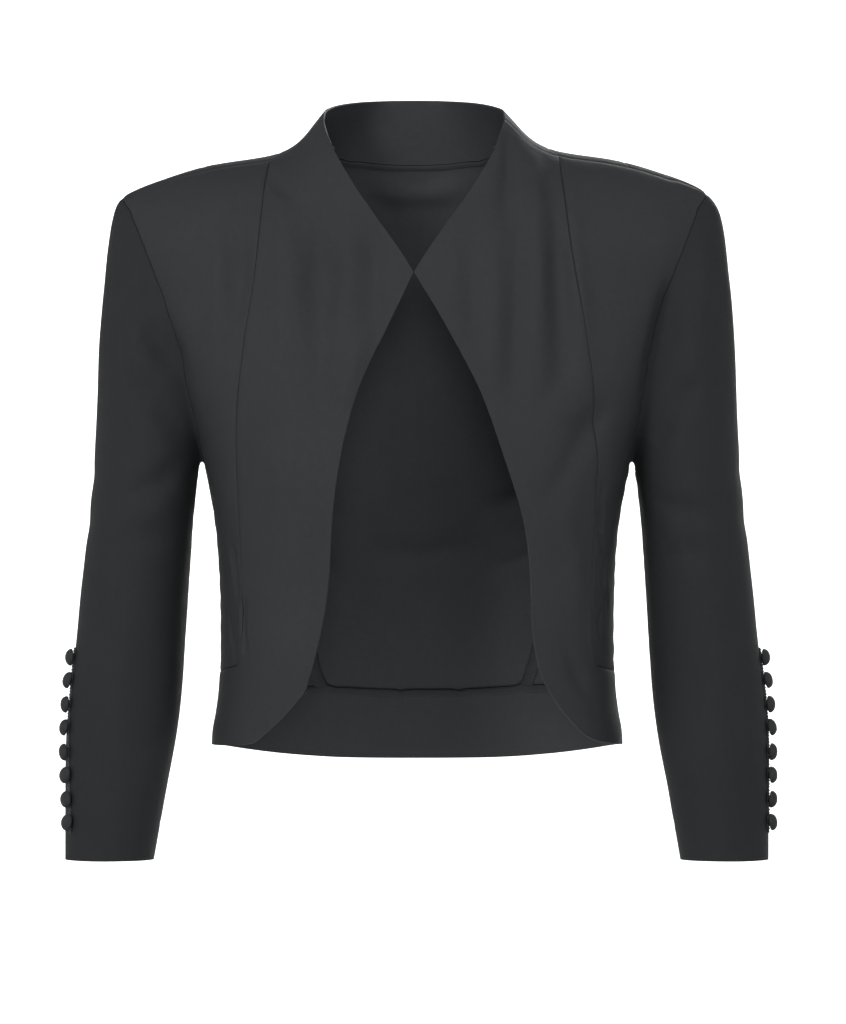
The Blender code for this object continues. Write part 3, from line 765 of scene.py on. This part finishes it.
def fold_lift(spots, path, width, rise):
    """Return how far one fold lifts each point: uneven along its line, and gone at its ends."""
    low = np.min(path, axis=0) - FOLD_REACH * width
    high = np.max(path, axis=0) + FOLD_REACH * width
    near = np.flatnonzero(np.all((spots > low) & (spots < high), axis=1))
    lift = np.zeros(len(spots))
    if len(near) == 0:
        return lift
    points = spots[near]
    best = np.full(len(near), np.inf)
    along = np.zeros(len(near))
    for i, (a, b) in enumerate(zip(path, path[1:])):
        a, step = np.array(a), np.array(b - a)
        t = np.clip((points - a) @ step / (step @ step), 0, 1)
        away = np.linalg.norm(points - a - t[:, None] * step, axis=1)
        closer = away < best
        best[closer] = away[closer]
        along[closer] = (i + t[closer]) / (len(path) - 1)
    seed = Vector(path[0]) * 7
    steps = np.linspace(0, 1, WANDER_STEPS)
    uneven = np.array([noise.noise(seed + Vector((s * WANDER_PACE, 0, 0))) for s in steps])
    wander = np.interp(along, steps, uneven)
    q = best / (width * (1 + WANDER_WIDTH * wander))
    shape = np.exp(-q * q) - FOLD_VALLEY * np.exp(-((q / FOLD_VALLEY_WIDTH) ** 2))
    ends = np.sin(np.pi * np.clip(along, 0.02, 0.98)) ** FOLD_END
    lift[near] = rise * (1 + WANDER_RISE * wander) * ends * shape
    return lift


def seam_lines(sheet):
    """Return the edges of the sheet by the pair of pieces that they join."""
    lines = {}
    for edge in sheet.edges:
        pair = frozenset(face.material_index for face in edge.link_faces)
        if len(pair) > 1:
            lines.setdefault(pair, []).append(edge)
    return lines


def pair_name(pair):
    """Return the names of two pieces without their sides."""
    return {PIECES[number].removesuffix("_right").removesuffix("_left") for number in pair}


def pucker(sheet):
    """Draw the cloth into small waves that stand across each seam."""
    lines = seam_lines(sheet)
    for names, spacing, rise, reach in PUCKERS:
        for pair, edges in lines.items():
            if pair_name(pair) != set(names):
                continue
            verts = list({vert for edge in edges for vert in edge.verts})
            tree = tree_of([vert.co for vert in verts])
            middle = sum((vert.co for vert in verts), Vector()) / len(verts)
            moves = []
            for vert in sheet.verts:
                near, _, away = tree.find(vert.co)
                if away > 3 * reach * MM:
                    continue
                along = (near - middle).length / (spacing * MM)
                wave = math.sin(math.tau * along + PUCKER_SHIFT * noise.noise(near * 25))
                size = PUCKER_MEAN + noise.noise(near * 31 + Vector((5, 1, 0)))
                moves.append((vert, wave * size * rise * MM * math.exp(-away / (reach * MM))))
            for vert, move in moves:
                vert.co += vert.normal * move


def draw_in(sheet):
    """Let the cloth dip softly towards every seam."""
    points = []
    for edges in seam_lines(sheet).values():
        for edge in edges:
            a, b = (vert.co for vert in edge.verts)
            steps = math.ceil((b - a).length / (SEAM_STEP * MM))
            points += [a.lerp(b, i / steps) for i in range(steps)]
    tree = tree_of(points)
    for vert in sheet.verts:
        away = tree.find(vert.co)[2] / (SEAM_REACH * MM)
        if away < 3:
            vert.co -= vert.normal * SEAM_DIP * MM * math.exp(-away * away)


def open_end(sheet, side):
    """Return the middle of a cuff's edge, and the way that points up the sleeve from it."""
    number = PIECES.index(f"sleeve_{side}")
    ring = [vert.co for vert in sheet.verts if vert.is_boundary and number in pieces_at(vert)]
    spots = np.array(ring)
    middle = spots.mean(axis=0)
    up = np.linalg.eigh(np.cov((spots - middle).T))[1][:, 0]
    return Vector(middle), Vector(up if up[2] > 0 else -up)


def draw_in_hems(sheet):
    """Let the hidden stitches of the turned-up hems draw a faint line round each sleeve."""
    for side in SIDES:
        number = PIECES.index(f"sleeve_{side}")
        middle, up = open_end(sheet, side)
        for vert in sheet.verts:
            away = ((vert.co - middle).dot(up) / MM - CUFF_HEM) / CUFF_STITCH_REACH
            if abs(away) < 3 and number in pieces_at(vert):
                vert.co -= vert.normal * CUFF_STITCH_DIP * MM * math.exp(-away * away)


@functools.cache
def folded_sheet():
    """Return the whole jacket's outer face as one fine mesh with its folds."""
    cage = mesh_from("cage", sewn_cage())
    cage.uv_layers.new(name="pattern")
    for _ in PIECES:
        cage.materials.append(None)
    holder = bpy.data.objects.new("cage", cage)
    bpy.context.scene.collection.objects.link(holder)
    bpy.context.view_layer.objects.active = holder
    holder.select_set(True)
    bpy.ops.object.mode_set(mode="EDIT")
    bpy.ops.mesh.select_all(action="SELECT")
    bpy.ops.uv.unwrap(method="ANGLE_BASED", margin=0.01)
    bpy.ops.object.mode_set(mode="OBJECT")
    lay_pattern(cage)
    finer = holder.modifiers.new("finer", "SUBSURF")
    finer.levels = finer.render_levels = bpy.context.scene.jacket_cloth.levels
    mesh = bpy.data.meshes.new_from_object(holder.evaluated_get(bpy.context.evaluated_depsgraph_get()))
    bpy.data.objects.remove(holder)
    bpy.data.meshes.remove(cage)

    tree = BVHTree.FromPolygons([v.co for v in mesh.vertices], [f.vertices for f in mesh.polygons])
    spots = np.array([v.co for v in mesh.vertices])
    normals = np.array([v.normal for v in mesh.vertices])
    lift = np.zeros(len(spots))
    for side, folds in FOLDS.items():
        for *places, width, rise in folds:
            path = fold_path(tree, side, places)
            if len(path) > 2:
                lift += fold_lift(spots, path, width * MM, FOLD_DEPTH * rise * MM)
    for scale, rise in UNEVEN:
        lift += np.array([noise.noise(Vector(spot) * scale) for spot in spots]) * rise * MM
    mesh.vertices.foreach_set("co", (spots + normals * lift[:, None]).ravel())
    sheet = bmesh.new()
    sheet.from_mesh(mesh)
    bpy.data.meshes.remove(mesh)
    sheet.normal_update()
    pucker(sheet)
    sheet.normal_update()
    draw_in(sheet)
    draw_in_hems(sheet)
    sheet.normal_update()
    free = sheet.verts.layers.float.new("free")
    for vert in sheet.verts:
        vert[free] = float(vert.is_boundary)
    sewn = sheet.verts.layers.float.new("sewn")
    facing = sheet.verts.layers.float_vector.new("facing")
    for edges in seam_lines(sheet).values():
        for edge in edges:
            for vert in edge.verts:
                vert[sewn] = 1.0
                vert[facing] = vert.normal
    return sheet


def cut_piece(name):
    """Cut one piece out of the folded sheet, roll its seams in and give it a wall."""
    cloth = bpy.context.scene.jacket_cloth
    number = PIECES.index(name)
    # The sleeves get a painted shade: a darker copy of the cloth colour.
    shade = SLEEVE_PAINTED_SHADE if name.startswith("sleeve") else 1.0
    piece = folded_sheet().copy()
    others = [face for face in piece.faces if face.material_index != number]
    bmesh.ops.delete(piece, geom=others, context="FACES")
    bmesh.ops.inset_region(
        piece, faces=piece.faces[:], thickness=cloth.seam_band, use_boundary=True, use_even_offset=False
    )
    piece.normal_update()
    sewn = piece.verts.layers.float["sewn"]
    free = piece.verts.layers.float["free"]
    facing = piece.verts.layers.float_vector["facing"]
    # pressed marks the free edges, for their painted highlight and smoother finish.
    pressed = piece.verts.layers.float.new("pressed")
    # seam marks the sunk seam edges, for the painted shade in their grooves.
    seam = piece.verts.layers.float.new("seam")
    rounded = piece.edges.layers.float.new("bevel_weight_edge")
    for edge in piece.edges:
        if edge.is_boundary and all(vert[free] > 0.5 for vert in edge.verts):
            edge[rounded] = 1.0
    for vert in piece.verts:
        if vert.is_boundary and vert[sewn] > 0.5:
            vert[seam] = 1.0
            vert.co -= vert[facing] * cloth.seam_depth
        elif vert.is_boundary:
            vert[pressed] = 1.0
    for face in piece.faces:
        face.material_index = 0
    made = add_piece(f"{name}_cloth", mesh_from(name, piece), cloth_finish("face", shade), [name])
    made.data.materials.append(cloth_finish("reverse", shade))
    wall = made.modifiers.new("wall", "SOLIDIFY")
    wall.material_offset = 1
    wall.thickness = cloth.wall
    wall.offset = -1.0
    rounding = made.modifiers.new("rounding", "BEVEL")
    rounding.width = cloth.edge_round
    rounding.segments = 2
    rounding.limit_method = "WEIGHT"
    return made


def chain(edges):
    """Return the vertices of joined edges in order, and whether they close a ring."""
    links = {}
    for edge in edges:
        for vert in edge.verts:
            links.setdefault(vert, []).append(edge)
    ends = [vert for vert, joined in links.items() if len(joined) == 1]
    first = max(ends or links, key=lambda vert: vert.co.z)
    path, used, vert = [first], set(), first
    while True:
        edge = next((edge for edge in links[vert] if edge not in used), None)
        if edge is None:
            return path, False
        used.add(edge)
        vert = edge.other_vert(vert)
        if vert is first:
            return path, True
        path.append(vert)


def ways_into(path, closed, number):
    """Return, for each point of a seam, the way along the cloth that leads into one piece."""
    ways = []
    for i, vert in enumerate(path):
        faces = [face for face in vert.link_faces if face.material_index == number]
        middle = sum((face.calc_center_median() for face in faces), Vector()) / len(faces)
        before = path[i - 1] if i or closed else vert
        after = path[(i + 1) % len(path)] if i + 1 < len(path) or closed else vert
        along = (after.co - before.co).normalized()
        way = vert.normal.cross(along)
        ways.append(way if way.dot((middle - vert.co).normalized()) > 0 else -way)
    return ways


def add_allowance(name, on, beyond, width):
    """Press a strip of raw cloth flat on the inside of one piece, along its seam."""
    cloth = bpy.context.scene.jacket_cloth
    sheet = folded_sheet()
    number = PIECES.index(on)
    lines = seam_lines(sheet)
    edges = [edge for other in beyond for edge in lines[frozenset((number, PIECES.index(other)))]]
    path, closed = chain(edges)
    here = [face for face in sheet.faces if face.material_index == number]
    verts = list({vert for face in here for vert in face.verts})
    index = {vert: i for i, vert in enumerate(verts)}
    tree = BVHTree.FromPolygons([v.co for v in verts], [[index[v] for v in face.verts] for face in here])
    strip = bmesh.new()
    line = [strip.verts.new(vert.co) for vert in path]
    pairs = list(zip(line, line[1:] + line[:1]))
    rail = [strip.edges.new(pair) for pair in (pairs if closed else pairs[:-1])]
    ways = ways_into(path, closed, number)
    lengths = [0.0]
    for a, b in zip(path, path[1:]):
        lengths.append(lengths[-1] + (b.co - a.co).length)
    columns = [line]
    for column in range(1, ALLOWANCE_COLUMNS + 1):
        made = bmesh.ops.extrude_edge_only(strip, edges=rail)["geom"]
        new = [item for item in made if isinstance(item, bmesh.types.BMVert)]
        fresh = [item for item in made if isinstance(item, bmesh.types.BMEdge)]
        rail = [edge for edge in fresh if edge.is_boundary and set(edge.verts) <= set(new)]
        place = {tuple(vert.co): vert for vert in new}
        columns.append([place[tuple(vert.co)] for vert in columns[-1]])
        for i, vert in enumerate(columns[-1]):
            share = column / ALLOWANCE_COLUMNS
            reach = width * MM * share * (1 + ALLOWANCE_UNEVEN * noise.noise(path[i].co * 60))
            spot, normal, _, _ = tree.find_nearest(path[i].co + ways[i] * reach)
            raised = ALLOWANCE_LIFT * share * (1 + noise.noise(path[i].co * 90))
            vert.co = spot - normal * (cloth.wall + (ALLOWANCE_GAP + raised) * MM)
    for vert, seam, way in zip(line, path, ways):
        vert.co = seam.co - seam.normal * (cloth.wall + ALLOWANCE_SINK * MM) - way * ALLOWANCE_BACK * MM
    pattern = strip.loops.layers.uv.new("pattern")
    flat = {}
    for column, row in enumerate(columns):
        for i, vert in enumerate(row):
            flat[vert] = (width * MM * column / ALLOWANCE_COLUMNS, lengths[i])
    for face in strip.faces:
        for loop in face.loops:
            loop[pattern].uv = flat[loop.vert]
    made = add_piece(name, mesh_from(name, strip), strip_finish())
    thick = made.modifiers.new("thick", "SOLIDIFY")
    thick.thickness = ALLOWANCE_THICK * MM
    thick.offset = 0.0
    return made


def add_cuff_hem(side):
    """Turn the end of a sleeve up inside it, as a second layer of the same cloth."""
    cloth = bpy.context.scene.jacket_cloth
    number = PIECES.index(f"sleeve_{side}")
    hem = folded_sheet().copy()
    middle, up = open_end(hem, side)
    others = [face for face in hem.faces if face.material_index != number]
    bmesh.ops.delete(hem, geom=others, context="FACES")
    bmesh.ops.bisect_plane(
        hem, geom=hem.verts[:] + hem.edges[:] + hem.faces[:], plane_co=middle + up * CUFF_HEM * MM,
        plane_no=up, clear_outer=True,
    )
    free = hem.verts.layers.float["free"]
    for vert in hem.verts:
        vert.co -= vert.normal * (cloth.wall - CUFF_HEM_OVERLAP * MM)
        if vert[free] > 0.5:
            vert.co += up * CUFF_HEM_ROUND * MM
    for face in hem.faces:
        face.material_index = 0
    name = f"cuff_hem_{side}"
    # The turned-up hem carries the sleeves' painted shade too.
    made = add_piece(name, mesh_from(name, hem), cloth_finish("face", SLEEVE_PAINTED_SHADE))
    wall = made.modifiers.new("wall", "SOLIDIFY")
    wall.thickness = CUFF_HEM_THICK * MM
    wall.offset = -1.0


def seat_of(name, outward):
    """Return the foot of a button's node and the way that it faces."""
    shape = bmesh.new()
    shape.from_mesh(frame["nodes"][name].data)
    bmesh.ops.remove_doubles(shape, verts=shape.verts, dist=SAME_SPOT * MM)
    spots = np.array([v.co for v in shape.verts])
    shape.free()
    middle = spots.mean(axis=0)
    axis = np.linalg.eigh(np.cov((spots - middle).T))[1][:, 0]
    if axis[0] * outward < 0:
        axis = -axis
    reach = (spots - middle) @ axis
    foot = middle + axis * reach.min()
    return Vector(foot) - Vector(axis) * SHANK_FOOT * MM, Vector(axis)


def add_button(name, outward):
    """Turn a covered button: a tight dome, gathered underneath onto its shank."""
    foot, axis = seat_of(name, outward)
    shape = turned([(radius * MM, height * MM) for radius, height in DOME], DOME_SIDES)
    pressed = shape.verts.layers.float.new("pressed")
    seed = Vector((sum(map(ord, name)), foot.z * 100, 0))
    for vert in shape.verts:
        height, radius = vert.co.z, vert.co.xy.length
        turn = math.atan2(vert.co.y, vert.co.x)
        under = min(1.0, max(0.0, (GATHER_FROM * MM - height) / (GATHER_OVER * MM)))
        ruffle = math.sin(GATHERS * turn + 2 * noise.noise(seed + vert.co * 300))
        vert[pressed] = max(0.0, 1 - radius / (RUBBED_RADIUS * MM)) * (1 - under)
        if radius > 0.5 * MM:
            vert.co.xy *= 1 + ruffle * under * GATHER_DEPTH * MM / radius
        vert.co *= 1 + DOME_UNEVEN * noise.noise(seed + vert.co * 170)
    turn = Vector((0, 0, 1)).rotation_difference(axis).to_matrix().to_4x4()
    bmesh.ops.transform(shape, matrix=Matrix.Translation(foot) @ turn, verts=shape.verts)
    made = add_piece(f"{name}_cover", mesh_from(name, shape), button_finish(), [name])
    finer = made.modifiers.new("finer", "SUBSURF")
    finer.levels = finer.render_levels = 1
    return foot


def add_loops(side, feet):
    """Lay the looped braid that the buttons of one cuff stand on, a knot to each small loop."""
    tree = BVHTree.FromBMesh(folded_sheet())
    feet = sorted(feet, key=lambda foot: foot.z)
    ends = [(feet[0] - feet[1]).normalized() * BRAID_BEYOND * MM + feet[0]]
    ends.append((feet[-1] - feet[-2]).normalized() * BRAID_BEYOND * MM + feet[-1])
    path = [ends[0], *feet, ends[1]]
    spots = []
    for a, b in zip(path, path[1:]):
        steps = max(2, round((b - a).length / (BRAID_STEP * MM)))
        spots += [a.lerp(b, i / steps) for i in range(steps)]
    shape = bmesh.new()
    rings = []
    for i, spot in enumerate(spots[1:-1], 1):
        place, normal, _, _ = tree.find_nearest(spot)
        along = (spots[i + 1] - spots[i - 1]).normalized()
        across = normal.cross(along).normalized()
        twist = math.sin(math.pi * i * BRAID_STEP / BRAID_KNOT)
        size = (BRAID_SIZE * (0.55 + 0.5 * abs(twist)) + 0.2 * noise.noise(spot * 400)) * MM
        turned = Matrix((across, normal, along)).transposed().to_4x4()
        place = place + normal * BRAID_HEIGHT * MM + across * BRAID_SWING * twist * MM
        here = Matrix.Translation(place) @ turned
        ring = bmesh.ops.create_circle(shape, segments=BRAID_SIDES, radius=size, matrix=here)["verts"]
        rings.append(ring)
    for ring, after in zip(rings, rings[1:]):
        edges = {edge for vert in ring + after for edge in vert.link_edges}
        flat = [edge for edge in edges if set(edge.verts) <= set(ring) or set(edge.verts) <= set(after)]
        bmesh.ops.bridge_loops(shape, edges=flat)
    open_ends = [edge for edge in shape.edges if edge.is_boundary]
    bmesh.ops.holes_fill(shape, edges=open_ends, sides=BRAID_SIDES)
    bmesh.ops.recalc_face_normals(shape, faces=shape.faces)
    add_piece(f"button_braid_{side}", mesh_from("braid", shape), thread_finish())


class JACKET_OT_cloth(bpy.types.Operator):
    """Cut every piece of cloth, with its folds and seams"""

    bl_idname = "jacket.cloth"
    bl_label = "Cloth pieces"

    def execute(self, context):
        for name in PIECES:
            cut_piece(name)
        return {"FINISHED"}


class JACKET_OT_allowances(bpy.types.Operator):
    """Press the seam allowances flat inside the jacket, and turn the sleeves' hems up"""

    bl_idname = "jacket.allowances"
    bl_label = "Seam allowances"

    def execute(self, context):
        for row in ALLOWANCES:
            add_allowance(*row)
        for side in SIDES:
            add_cuff_hem(side)
        return {"FINISHED"}


class JACKET_OT_buttons(bpy.types.Operator):
    """Cover the sixteen buttons and lay the braid that they stand on"""

    bl_idname = "jacket.buttons"
    bl_label = "Covered buttons"

    def execute(self, context):
        for side, outward in SIDES.items():
            feet = [add_button(f"button_{side}_{i}", outward) for i in range(1, BUTTONS + 1)]
            add_loops(side, feet)
        return {"FINISHED"}


class JACKET_OT_stage(bpy.types.Operator):
    """Set up the camera, the pale floor and the soft lights"""

    bl_idname = "jacket.stage"
    bl_label = "Stage"

    def execute(self, context):
        stage = context.scene.jacket_stage
        add_camera(context.scene, stage)
        add_floor(stage)
        for row in LIGHTS:
            add_light(*row)
        world = bpy.data.worlds.new("studio")
        world.use_nodes = True
        world.node_tree.nodes["Background"].inputs["Color"].default_value = (1, 1, 1, 1)
        world.node_tree.nodes["Background"].inputs["Strength"].default_value = WORLD_LIGHT
        context.scene.world = world
        context.scene.view_settings.view_transform = "Standard"
        return {"FINISHED"}


def add_camera(scene, stage):
    """Put the camera level with the middle of the jacket, as the photograph was taken."""
    data = bpy.data.cameras.new("camera")
    data.sensor_width = CAMERA_SENSOR
    data.lens = data.sensor_width * stage.distance / stage.view_height
    data.clip_end = CAMERA_REACH
    camera = bpy.data.objects.new("camera", data)
    camera.location = (CAMERA_ACROSS, -stage.distance, CAMERA_HEIGHT)
    camera.rotation_euler = (math.pi / 2, 0, 0)
    scene.collection.objects.link(camera)
    scene.camera = camera


def add_floor(stage):
    """Sweep a round pale floor up into a low wall, so that no line shows behind the jacket."""
    shape = turned(sweep_profile(stage.floor_drop), SWEEP_SIDES)
    bmesh.ops.reverse_faces(shape, faces=shape.faces)
    finish = Finish("pale_floor")
    place = finish.add("ShaderNodeTexCoord", {}).outputs["Object"]
    across, along = (Value(finish, s) for s in finish.add("ShaderNodeSeparateXYZ", {}, place).outputs[:2])
    shade = finish.grain(0.8, 2.0, 0.5)
    high = tuple(stage.floor_colour)
    low = tuple(0.98 * c for c in high)
    glow = (across * across + along * along).between(GLOW_FROM, GLOW_FULLY) * GLOW
    finish.set(
        Base_Color=finish.blend(shade, low, high),
        Roughness=0.8,
        Emission_Color=finish.blend(glow, (0.0, 0.0, 0.0), (1.0, 1.0, 1.0)),
        Emission_Strength=1.0,
    )
    mesh = mesh_from("floor", shape)
    mesh.materials.append(finish.material)
    mesh.shade_smooth()
    thing = bpy.data.objects.new("floor", mesh)
    bpy.context.scene.collection.objects.link(thing)


def sweep_profile(floor):
    """Return radius and height of the floor from its middle to the top of its wall."""
    middle = SWEEP_RADIUS - SWEEP_CURVE
    turns = [i * math.pi / 2 / SWEEP_STEPS for i in range(SWEEP_STEPS + 1)]
    curve = [
        (middle + SWEEP_CURVE * math.sin(t), floor + SWEEP_CURVE * (1 - math.cos(t))) for t in turns
    ]
    return [(0.0, floor), *curve, (SWEEP_RADIUS, floor + SWEEP_TOP)]


def add_light(name, kind, spot, size, watts):
    """Hang a soft light that faces the jacket."""
    data = bpy.data.lights.new(name, kind)
    if kind == "AREA":
        data.shape = "DISK"
        data.size = size
    else:
        data.shadow_soft_size = size
        data.spot_size = SPOT_CONE
        data.spot_blend = 1.0
    data.energy = watts
    light = bpy.data.objects.new(name, data)
    light.location = spot
    light.rotation_euler = (Vector(LIT_SPOT) - Vector(spot)).to_track_quat("-Z", "Y").to_euler()
    bpy.context.scene.collection.objects.link(light)


class JACKET_PT_panel(bpy.types.Panel):
    """Lists the steps that dress the jacket"""

    bl_label = "Bolero jacket"
    bl_idname = "JACKET_PT_panel"
    bl_space_type = "VIEW_3D"
    bl_region_type = "UI"
    bl_category = "Jacket"

    def draw(self, context):
        for operator in OPERATORS:
            self.layout.operator(operator.bl_idname)
        for group in (context.scene.jacket_cloth, context.scene.jacket_stage):
            box = self.layout.box()
            for key in type(group).__annotations__:
                box.prop(group, key)


OPERATORS = (JACKET_OT_cloth, JACKET_OT_allowances, JACKET_OT_buttons, JACKET_OT_stage)
CLASSES = (JacketCloth, JacketStage, *OPERATORS, JACKET_PT_panel)


def register():
    for cls in CLASSES:
        bpy.utils.register_class(cls)
    bpy.types.Scene.jacket_cloth = PointerProperty(type=JacketCloth)
    bpy.types.Scene.jacket_stage = PointerProperty(type=JacketStage)


def unregister():
    del bpy.types.Scene.jacket_cloth
    del bpy.types.Scene.jacket_stage
    for cls in reversed(CLASSES):
        bpy.utils.unregister_class(cls)


def main():
    register()
    for thing in list(bpy.data.objects):
        if thing.type in {"CAMERA", "LIGHT"}:
            bpy.data.objects.remove(thing)
    bpy.ops.jacket.cloth()
    bpy.ops.jacket.allowances()
    bpy.ops.jacket.buttons()
    bpy.ops.jacket.stage()


if __name__ == "__main__":
    main()
